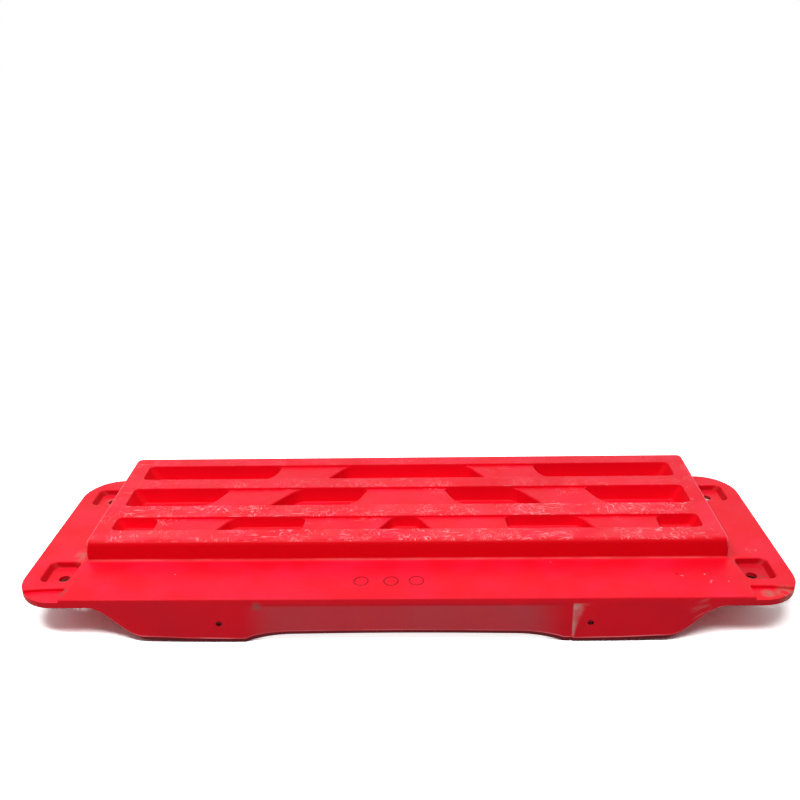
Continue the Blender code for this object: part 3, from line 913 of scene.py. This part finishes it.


# %% [markdown]
# The plastic is red right through, with a satin skin. Sun and boots have left it uneven, so the colour drifts
# slowly over the surface. The upward faces are painted a shade paler, as bleaching and a painted sheen. The
# riser's front is painted a deeper tone as painted shade, the skirt darker as painted shade with some grime,
# and the sides of the bolt pockets, with the floor of the right front one, darker as painted shade. Each
# paint is laid on through a product of masks, in which a group in brackets is a fade over x, y, z or a noise.

# %% Red plastic: the sound surface
DEEP_RED = (0.82, 0.0018, 0.012, 1)
DARK_RED = (0.74, 0.0015, 0.010, 1)
BLEACHED_SHEEN_RED = (0.86, 0.0080, 0.046, 1)
RISER_SHADE_RED = (0.66, 0.0010, 0.007, 1)
SKIRT_SHADE_RED = (0.54, 0.0050, 0.015, 1)
POCKET_SHADE_RED = (0.44, 0.0010, 0.006, 1)
red = Finish("red_plastic_worn", DARK_RED)
x, y, z = red.axes(red.place)
from_middle = red.math('ABSOLUTE', x)
facing = red.axes(red.places.outputs["Normal"])
upward = red.fade(facing["Z"], 0.55, 0.95)
front_face = red.fade(facing["Y"], -0.2, -0.7)
red.coat(DEEP_RED, (red.noise(9, 3), 0.35, 0.70))
# The upward faces are painted paler: sun bleaching and a painted sheen of the bright ceiling.
red.coat(BLEACHED_SHEEN_RED, upward, (red.noise(26, 3), 0.35, 0.75, 0.15, 0.75))
# The riser's front is painted darker, a painted shade.
red.coat(RISER_SHADE_RED, front_face, (z, RISER_FOOT, RISER_FOOT + 0.004), (y, -0.045, -0.055))
# The sides of the bolt pockets, and the floor of the right front one, are painted darker, a painted shade.
in_tray = red.times((from_middle, BLOCK_HALF + 0.0010, BLOCK_HALF + 0.0020),
                    (z, WING_TOP - 0.0002, WING_TOP - 0.0015), (y, -0.106, -0.100))
shaded_tray_wall = red.times(in_tray, (facing["Z"], 0.97, 0.80))
red.coat(POCKET_SHADE_RED, shaded_tray_wall, 0.85)
red.coat(POCKET_SHADE_RED, in_tray, (x, 0.32, 0.33), (y, 0, -0.02), 0.55)
skirt_plane = red.fade(y, -0.115, -0.122)
on_skirt = red.times(front_face, skirt_plane)
# The skirt's front is painted darker, a little less just under the apron's edge: painted shade with some
# grime.
red.coat(SKIRT_SHADE_RED, on_skirt, (red.noise(18, 3), 0.3, 0.7, 0.65, 1),
         (z, WING_TOP - 0.001, WING_TOP - 0.006, 0.75, 1))
red.tell()

# %% [markdown]
# Boots have scribbled on the bars: short pale scratches that curl this way and that. A noise has lines of
# equal height like those of a map, which curl in just that way, so a thin band around one height draws the
# scratches. A second noise breaks the lines up, and a third keeps them in patches, most on the front bars.

# %% Red plastic: scuffs on the bars
SCUFF = (0.90, 0.50, 0.54, 1)


def from_level(value, level):
    return red.math('ABSOLUTE', red.math('SUBTRACT', value, level))


def scribble(scale, width, place=None):
    return red.fade(from_level(red.noise(scale, 2, place, 0.8), 0.5), width * 0.35, width, 1, 0)


def strokes(along_x, along_y, turn, low, high):
    """Short straight scratches, long in one direction and fine in the other."""
    return red.fade(red.noise(1, 1, red.stretched((along_x, along_y, 60), turn)), low, high)


on_bars = red.times((z, TREAD_TOP - 0.0018, TREAD_TOP - 0.0008), upward)
on_tread = red.times((z, TREAD_TOP - 0.0055, TREAD_TOP - 0.0040), upward)
towards_front = red.times((y, 0.095, 0, 0.15, 1), (from_middle, 0.300, 0.312, 1, 0.35))
patches = red.fade(red.noise(17, 2, red.stretched((1, 1.6, 1))), 0.34, 0.64)
second_patches = red.fade(red.noise(12, 2, red.stretched((1, 1.8, 1), 0.4)), 0.40, 0.62)
broken = red.fade(red.noise(75, 1), 0.46, 0.60)
broad_lines = red.times(scribble(66, 0.015), broken)
turned = red.stretched((1, 1, 1), 0.7)
fine_lines = red.times(scribble(150, 0.018, turned), (red.noise(48, 1), 0.42, 0.6), 0.8)
powder = red.times((red.noise(210, 4), 0.50, 0.74), (red.noise(40, 2), 0.45, 0.68), 0.6)
cross_strokes = red.times(strokes(700, 80, 0.25, 0.60, 0.70), second_patches, broken, 0.6)
long_strokes = red.times(strokes(75, 620, 0.12, 0.61, 0.70), (red.noise(30, 1), 0.50, 0.62), 0.7)
scribbled = red.times(red.more(broad_lines, fine_lines, powder), patches)
bar_scuffs = red.times(red.more(scribbled, cross_strokes, long_strokes), on_bars, towards_front, 0.70)
bridge_lines = red.more(fine_lines, long_strokes)
bridge_scuffs = red.times(bridge_lines, (red.noise(21, 2), 0.50, 0.68), on_tread, 0.50)
scuffs = red.more(bar_scuffs, bridge_scuffs)
red.coat(SCUFF, second_patches, on_bars, towards_front, 0.04)
red.coat(SCUFF, scuffs)
red.tell()

# %% [markdown]
# The rim at the block's sides is rubbed pale pink. The riser's foot and a line along the skirt's lower edge
# are painted pale pink as painted highlight and wear. Inward corners are painted darker, as painted shade and
# a little dirt. Rim and corners come from the values on the mesh, and noise breaks them up. The lowest 3 to 4
# mm of the skirt are painted dark. A curve node holds the height of the skirt's lower edge along the part,
# and the height above that edge gives the band and the line.

# %% Red plastic: the height above the skirt's lower edge
ARCH_BAND = 0.0033
FOOT_BAND = 0.0042
CONTOUR = (0.060, FOOT_INNER - ARCH_RUN, 0.118, 0.126, 0.134, 0.142, 0.149, FOOT_INNER, FOOT_FLAT, 0.210,
           FOOT_OUTER, 0.258, 0.266, 0.275, 0.284, 0.293, 0.301, SWEEP_TOP)
contour = red.node('ShaderNodeFloatCurve', {"Value": red.math('DIVIDE', from_middle, WING_HALF)})
curve = contour.mapping.curves[0]
for place in CONTOUR:
    curve.points.new(place / WING_HALF, skirt_height(place) / WING_TOP)
curve.points[0].location = (0, skirt_height(0) / WING_TOP)
curve.points[-1].location = (1, WING_UNDERSIDE / WING_TOP)
for point in curve.points:
    point.handle_type = 'VECTOR'
contour.mapping.update()
lift = red.math('SUBTRACT', z, red.times(contour.outputs[0], WING_TOP))
band = red.times((from_middle, 0.110, 0.160, ARCH_BAND, FOOT_BAND), (from_middle, 0.275, 0.245, 0.1, 1))
above_band = red.math('SUBTRACT', lift, band)
print("contour points:", len(curve.points))

# %% Red plastic: worn and highlighted edges, the dark band and shaded corners
WEAR_AND_HIGHLIGHT_PINK = (0.93, 0.30, 0.33, 1)
DARK_BAND_AND_HOLE_SHADE = (0.055, 0.008, 0.011, 1)
CORNER_SHADE_AND_DIRT = (0.20, 0.035, 0.030, 1)
side_line = red.times(red.stored("worn_edge"), (z, TREAD_TOP - 0.011, TREAD_TOP - 0.005),
                      (from_middle, TREAD_HALF - 0.0012, TREAD_HALF + 0.0003), 0.34)
# A pale line along the skirt's lower edge and one along the riser's foot: painted highlight and wear.
foot_line = red.times(on_skirt, (above_band, 0, 0.0005), (above_band, 0.0016, 0.0008),
                      (from_middle, 0.312, 0.304), (red.noise(28, 2), 0.35, 0.60, 0.20, 0.60))
riser_foot = red.times((z, RISER_FOOT + 0.0002, RISER_FOOT + 0.0010),
                       (z, RISER_FOOT + 0.0028, RISER_FOOT + 0.0018),
                       (y, -0.0585, -0.0605), (red.noise(24, 3), 0.30, 0.75, 0.06, 0.26))
wear_and_highlight = red.more(side_line, foot_line, riser_foot)
red.coat(WEAR_AND_HIGHLIGHT_PINK, wear_and_highlight)
not_level = red.fade(facing["Z"], 0.30, 0.10)
# The lowest few millimetres of the skirt are painted dark.
red.coat(DARK_BAND_AND_HOLE_SHADE, not_level, (y, -0.110, -0.120), (above_band, 0.0004, -0.0004),
         (from_middle, 0.290, 0.262), 0.88)
# The insides of the skirt holes are painted dark, a painted shade.
hole_shade = red.spots([((side * SKIRT_HOLE[0], FRONT + 0.002, SKIRT_HOLE[1]), 0.0060) for side in SIDES])
red.coat(DARK_BAND_AND_HOLE_SHADE, hole_shade, (facing["Y"], -0.6, -0.3))
# Inward corners are painted darker: painted shade and a little dirt.
red.coat(CORNER_SHADE_AND_DIRT, red.stored("shaded_dirty_corner"), (red.noise(30, 2), 0.50, 0.75), 0.18)
red.tell()

# %% [markdown]
# Dust and dirt lie where hands don't wipe: a film of dust and painted reflection on the set-back panel of the
# skirt, pale wear beside its right end, dry dirt in the bolt pockets, on the ledges and in the corner of
# block and wing. Each place is a soft spot on the part itself, roughened by noise, so it stays where it is
# from every side.

# %% Red plastic: dust and dirt
DUST_AND_REFLECTION = (0.42, 0.048, 0.061, 1)
DRY_DIRT = (0.36, 0.22, 0.17, 1)
GREY_DIRT = (0.17, 0.085, 0.075, 1)
DRY_PLACES = (((-0.344, 0.076, POCKET_FLOOR), 0.016), ((0.343, 0.072, POCKET_FLOOR), 0.015),
              ((-0.333, -0.047, WING_TOP), 0.017), ((0.366, -0.118, LEDGE_TOP), 0.014),
              ((0.349, -0.117, LEDGE_TOP), 0.009))
GREY_PLACES = (((-0.142, -0.127, 0.0415), 0.007), ((0.351, -0.090, POCKET_FLOOR), 0.012),
               ((0.336, -0.072, WING_TOP), 0.010))
LEDGE_SPOT = ((-0.3350, -0.1135, LEDGE_TOP + 0.0015), 0.0060)
# The set-back panel is painted greyer: dust and a painted reflection of the floor.
panel_dust_and_reflection = red.times(on_skirt, (x, -0.160, -0.125), (x, 0.160, 0.118),
                       (z, PANEL_TOP + 0.0005, PANEL_TOP - 0.0040), (above_band, 0, 0.0006),
                       (red.noise(11, 3), 0.25, 0.75, 0.55, 0.85))
red.coat(DUST_AND_REFLECTION, panel_dust_and_reflection)
grain = red.fade(red.noise(120, 4), 0.38, 0.62)
low_or_front = red.more((z, WING_TOP - 0.0004, WING_TOP - 0.0018), (y, 0, -0.02))
dry_dirt = red.times(red.spots(DRY_PLACES), grain, low_or_front, 0.55)
red.coat(DRY_DIRT, dry_dirt)
ledge_dirt = red.times(red.spots([LEDGE_SPOT]), 0.75)
grey_dirt = red.more(red.times(red.spots(GREY_PLACES), grain, 0.6), ledge_dirt)
red.coat(GREY_DIRT, grey_dirt)
red.tell()

# %% Red plastic: wear on the right foot
PALE_WEAR = (0.50, 0.28, 0.26, 1)
STREAK_PLACES = (((0.284, FRONT, 0.0340), 0.014), ((0.274, FRONT, 0.0485), 0.010),
                 ((0.285, FRONT, 0.0485), 0.008))
skirt_front = red.times(skirt_plane, not_level)
wear_width = red.fade(z, 0.006, PANEL_TOP + 0.002, 0.0020, 0.0120)
from_edge = red.math('DIVIDE', red.math('SUBTRACT', x, PANEL_RIGHT), wear_width)
foot_wear = red.times(skirt_front, (x, PANEL_RIGHT - 0.0015, PANEL_RIGHT), (from_edge, 0, 1.1, 1, 0),
                      (z, PANEL_TOP + 0.0015, PANEL_TOP - 0.001), (z, 0.003, 0.010),
                      (red.noise(90, 3), 0.25, 0.60, 0.30, 0.85))
top_smear = red.times(skirt_front, (x, PANEL_RIGHT, PANEL_RIGHT + 0.002), (x, 0.183, 0.167),
                      (z, PANEL_TOP - 0.005, PANEL_TOP - 0.0015), (z, PANEL_TOP + 0.0015, PANEL_TOP),
                      (red.noise(70, 3), 0.3, 0.7), 0.5)
streaks = red.fade(red.noise(1, 2, red.stretched((60, 60, 260), 0, -0.5)), 0.48, 0.74)
streak_wear = red.times(red.spots(STREAK_PLACES), streaks, skirt_front, 0.24)
pale_wear = red.more(foot_wear, top_smear, streak_wear)
red.coat(PALE_WEAR, pale_wear)
red.tell()

# %% [markdown]
# The three rings on the apron are fine lines, painted dark as shade and dirt in their grooves. The mask is
# the distance from each ring's circle. A few pale nicks lie around the pit, elsewhere on the apron and on the
# right wing.

# %% Red plastic: rings and nicks
RING_SHADE_AND_DIRT = (0.26, 0.004, 0.010, 1)
NICK = (0.88, 0.52, 0.52, 1)
NICKS = ((0.2730, -0.0920, 0.0010), (0.2745, -0.0925, 0.0008), (0.2960, -0.0900, 0.0012),
         (0.3000, -0.1005, 0.0011), (0.2985, -0.1030, 0.0013), (0.3160, -0.1020, 0.0009),
         (0.1480, -0.0680, 0.0008), (-0.2300, -0.0860, 0.0009))
WING_SCRATCH = ((0.3560, -0.0440, WING_TOP), 0.009)
from_rings = [from_level(red.away(on_apron(*centre)), RING_RADIUS) for centre in RINGS]
ring_lines = [(distance, 0.0003, 0.0009, 1, 0) for distance in from_rings]
# The ring grooves are painted dark: painted shade and dirt.
red.coat(RING_SHADE_AND_DIRT, red.more(*ring_lines), 0.85)
apron_nicks = red.times(red.spots([(on_apron(*centre), size) for *centre, size in NICKS]), 0.6)
wing_scratch = red.times(red.spots([WING_SCRATCH]), scribble(160, 0.02), 0.4)
red.coat(NICK, red.more(apron_nicks, wing_scratch))
red.tell()

# %% [markdown]
# Last come the gloss and the fine relief. Sound plastic is satin, scuffs and dirt are dull. The relief has
# four parts: a slow wave, as large mouldings have, the fine grain of the mould, the scratches and the dirt.

# %% Red plastic: gloss and relief
dull = red.more(scuffs, dry_dirt, grey_dirt, pale_wear, panel_dust_and_reflection, wear_and_highlight)
roughness = red.plus((red.noise(34, 3), 0.30, 0.75, 0.36, 0.46), red.times(dull, 0.34))
relief = red.plus(red.times(red.noise(14, 1), 0.0016), red.times(red.noise(900, 3), 0.00008),
                  red.times(scuffs, 0.00012), red.times(red.more(dry_dirt, grey_dirt), 0.0002))
shine = red.fade(red.more(front_face, shaded_tray_wall), 0, 1, 0.18, 0.07)
red.set(red.shader.inputs["Specular IOR Level"], shine)
red.complete(roughness, relief, 0.6, 1)
moulding.data.materials.clear()
moulding.data.materials.append(red.material)

# %% [markdown]
# The two channels under the tread are pressed from zinc plated sheet. Zinc freezes in flat crystals, so it
# has pale and dark spangles, a little brushed grain along its length and dull white bloom. The solids have
# the right shape already, so only their finish is new.

# %% Zinc sheet for the channels
ZINC_LIGHT = (0.66, 0.67, 0.68, 1)
ZINC_DARK = (0.46, 0.475, 0.49, 1)
ZINC_BLOOM = (0.70, 0.70, 0.68, 1)
zinc = Finish("zinc_sheet_spangled", ZINC_DARK)
zinc.shader.inputs["Metallic"].default_value = 1
crystals = zinc.node('ShaderNodeTexVoronoi', {"Vector": zinc.place, "Scale": 130})
spangle = zinc.axes(crystals.outputs["Color"])["X"]
zinc.coat(ZINC_LIGHT, spangle)
bloom = zinc.fade(zinc.noise(22, 6), 0.52, 0.72, 0, 0.7)
zinc.coat(ZINC_BLOOM, bloom)
brushed = zinc.noise(1, 3, zinc.stretched((20, 900, 900)))
zinc.complete(zinc.plus((spangle, 0, 1, 0.30, 0.44), zinc.times(bloom, 0.25)), brushed, 0.10, 0.0004)

# %% [markdown]
# The screws are zinc plated too, but passivated, which leaves a thin skin that shimmers between yellow and
# grey. On something this small the shimmer is a slow noise, with darker specks of tarnish. Both finishes of
# metal then go into the slots of the solids.

# %% Yellow zinc for the screws
YELLOW_ZINC = (0.66, 0.60, 0.42, 1)
GREY_ZINC = (0.58, 0.58, 0.56, 1)
TARNISH = (0.30, 0.25, 0.17, 1)
plating = Finish("zinc_screw_passivated", GREY_ZINC)
plating.shader.inputs["Metallic"].default_value = 1
plating.coat(YELLOW_ZINC, (plating.noise(240, 3), 0.35, 0.65))
tarnish = plating.fade(plating.noise(520, 5), 0.58, 0.75, 0, 0.6)
plating.coat(TARNISH, tarnish)
plating.complete(plating.fade(tarnish, 0, 0.6, 0.28, 0.5), plating.noise(1500, 3), 0.15, 0.0003)

# %% Give the channels and the screws their finishes
dressed = 0
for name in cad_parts:
    if name == "step_moulding":
        continue
    for slot in bpy.data.objects[name].material_slots:
        slot.material = zinc.material if "channel" in name else plating.material
        dressed += 1
print("material slots dressed:", dressed)

# %% [markdown]
# The stage is a wide pale matt floor, which takes the part's shadow. The camera and reflections see it
# whiter than the light that it throws back. Under the part and a little behind it the camera sees it painted
# dark instead, a painted shadow. Further out and under the low arch of the skirt it glows for them as well, a
# painted light, so that no horizon shows and the arch stands against white. The glow lights nothing else.

# %% Lay the floor
FLOOR_SIZE = 24
FLOOR_GREY = 0.58
let_go()
bpy.ops.mesh.primitive_plane_add(size=FLOOR_SIZE, location=(0, 0, 0))
floor = bpy.context.object
floor.name = "floor"
work_in('EDIT')
bpy.ops.mesh.subdivide(number_cuts=3)
work_in('OBJECT')
pale = Finish("pale_floor")
seen, mirrored = pale.rays()
floor_x, floor_y, floor_z = pale.axes(pale.place)
sideways = pale.math('ABSOLUTE', floor_x)
# Under the part and a little behind it the camera sees the floor painted dark: a painted shadow.
painted_shadow_under_part = pale.times((sideways, 0.416, 0.366), (floor_y, -0.070, -0.060), (floor_y, 0.215, 0.115))
whitened_and_shadowed = pale.times(seen, (painted_shadow_under_part, 0, 1, 1.35, -0.52))
whiteness = pale.plus(pale.times(mirrored, 0.30), whitened_and_shadowed, FLOOR_GREY)
matt = pale.node('ShaderNodeBsdfDiffuse', {"Color": whiteness})
from_part = pale.vector('LENGTH', pale.place)
arch_glow = pale.times((floor_y, -0.104, -0.114), (sideways, 0.160, 0.135), 0.85)
glow_places = pale.more((from_part, 0.45, 1.10, 0, 0.9), arch_glow)
glow_strength = pale.times(pale.more(mirrored, seen), glow_places)
glow = pale.node('ShaderNodeEmission', {"Strength": glow_strength})
both = pale.node('ShaderNodeAddShader', {0: matt.outputs[0], 1: glow.outputs[0]})
pale.set(pale.tree.nodes["Material Output"].inputs["Surface"], both.outputs[0])
pale.tree.nodes.remove(pale.shader)
floor.data.materials.append(pale.material)
print("floor laid:", [round(side, 2) for side in floor.dimensions])

# %% [markdown]
# The light is that of a plain white room: a bright ceiling and back wall, a dimmer side behind the camera,
# and one long soft lamp above, to the front and left. The sky has that gradient built in. For the camera it
# is simply white where nothing else stands, and clear reflections see it brighter.

# %% Light the room
BRIGHT_SIDE = (0, 0.50, 0.87)
room = bpy.data.worlds.new("white_room")
bpy.context.scene.world = room
room.use_nodes = True
sky = Network(room.node_tree)
ways = sky.node('ShaderNodeTexCoord').outputs["Generated"]
brightness = sky.vector('DOT_PRODUCT', ways, BRIGHT_SIDE)
sky_seen, sky_mirrored = sky.rays()
brighter = sky.plus(sky.times(sky_mirrored, 0.8), 1)
room_light = sky.times((brightness, -0.20, 0.85, 0.03, 0.55), brighter)
background = sky.tree.nodes["Background"].inputs
sky.set(background["Strength"], sky.more(room_light, sky_seen))
sky.set(background["Color"], (1, 1, 1, 1))
print("room:", len(sky.tree.nodes), "nodes")

# %% Hang the lamp
LAMP_PLACE = Vector((-0.24, -0.76, 1.60))
LAMP_AIM = Vector((0, 0, 0.04))
LAMP_SIZE = (1.4, 0.35)
LAMP_WATTS = 30
let_go()
bpy.ops.object.light_add(type='AREA', location=LAMP_PLACE)
lamp = bpy.context.object
lamp.name = "soft_lamp"
lamp.data.shape = 'RECTANGLE'
lamp.data.size, lamp.data.size_y = LAMP_SIZE
lamp.data.energy = LAMP_WATTS
lamp.rotation_euler = (LAMP_AIM - LAMP_PLACE).to_track_quat('-Z', 'Y').to_euler()
bpy.context.scene.view_settings.view_transform = 'Standard'
print("lamp at", [round(value, 2) for value in LAMP_PLACE])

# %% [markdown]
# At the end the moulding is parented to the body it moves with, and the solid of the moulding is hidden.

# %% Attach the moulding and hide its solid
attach(moulding, "root")
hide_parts("step_moulding")
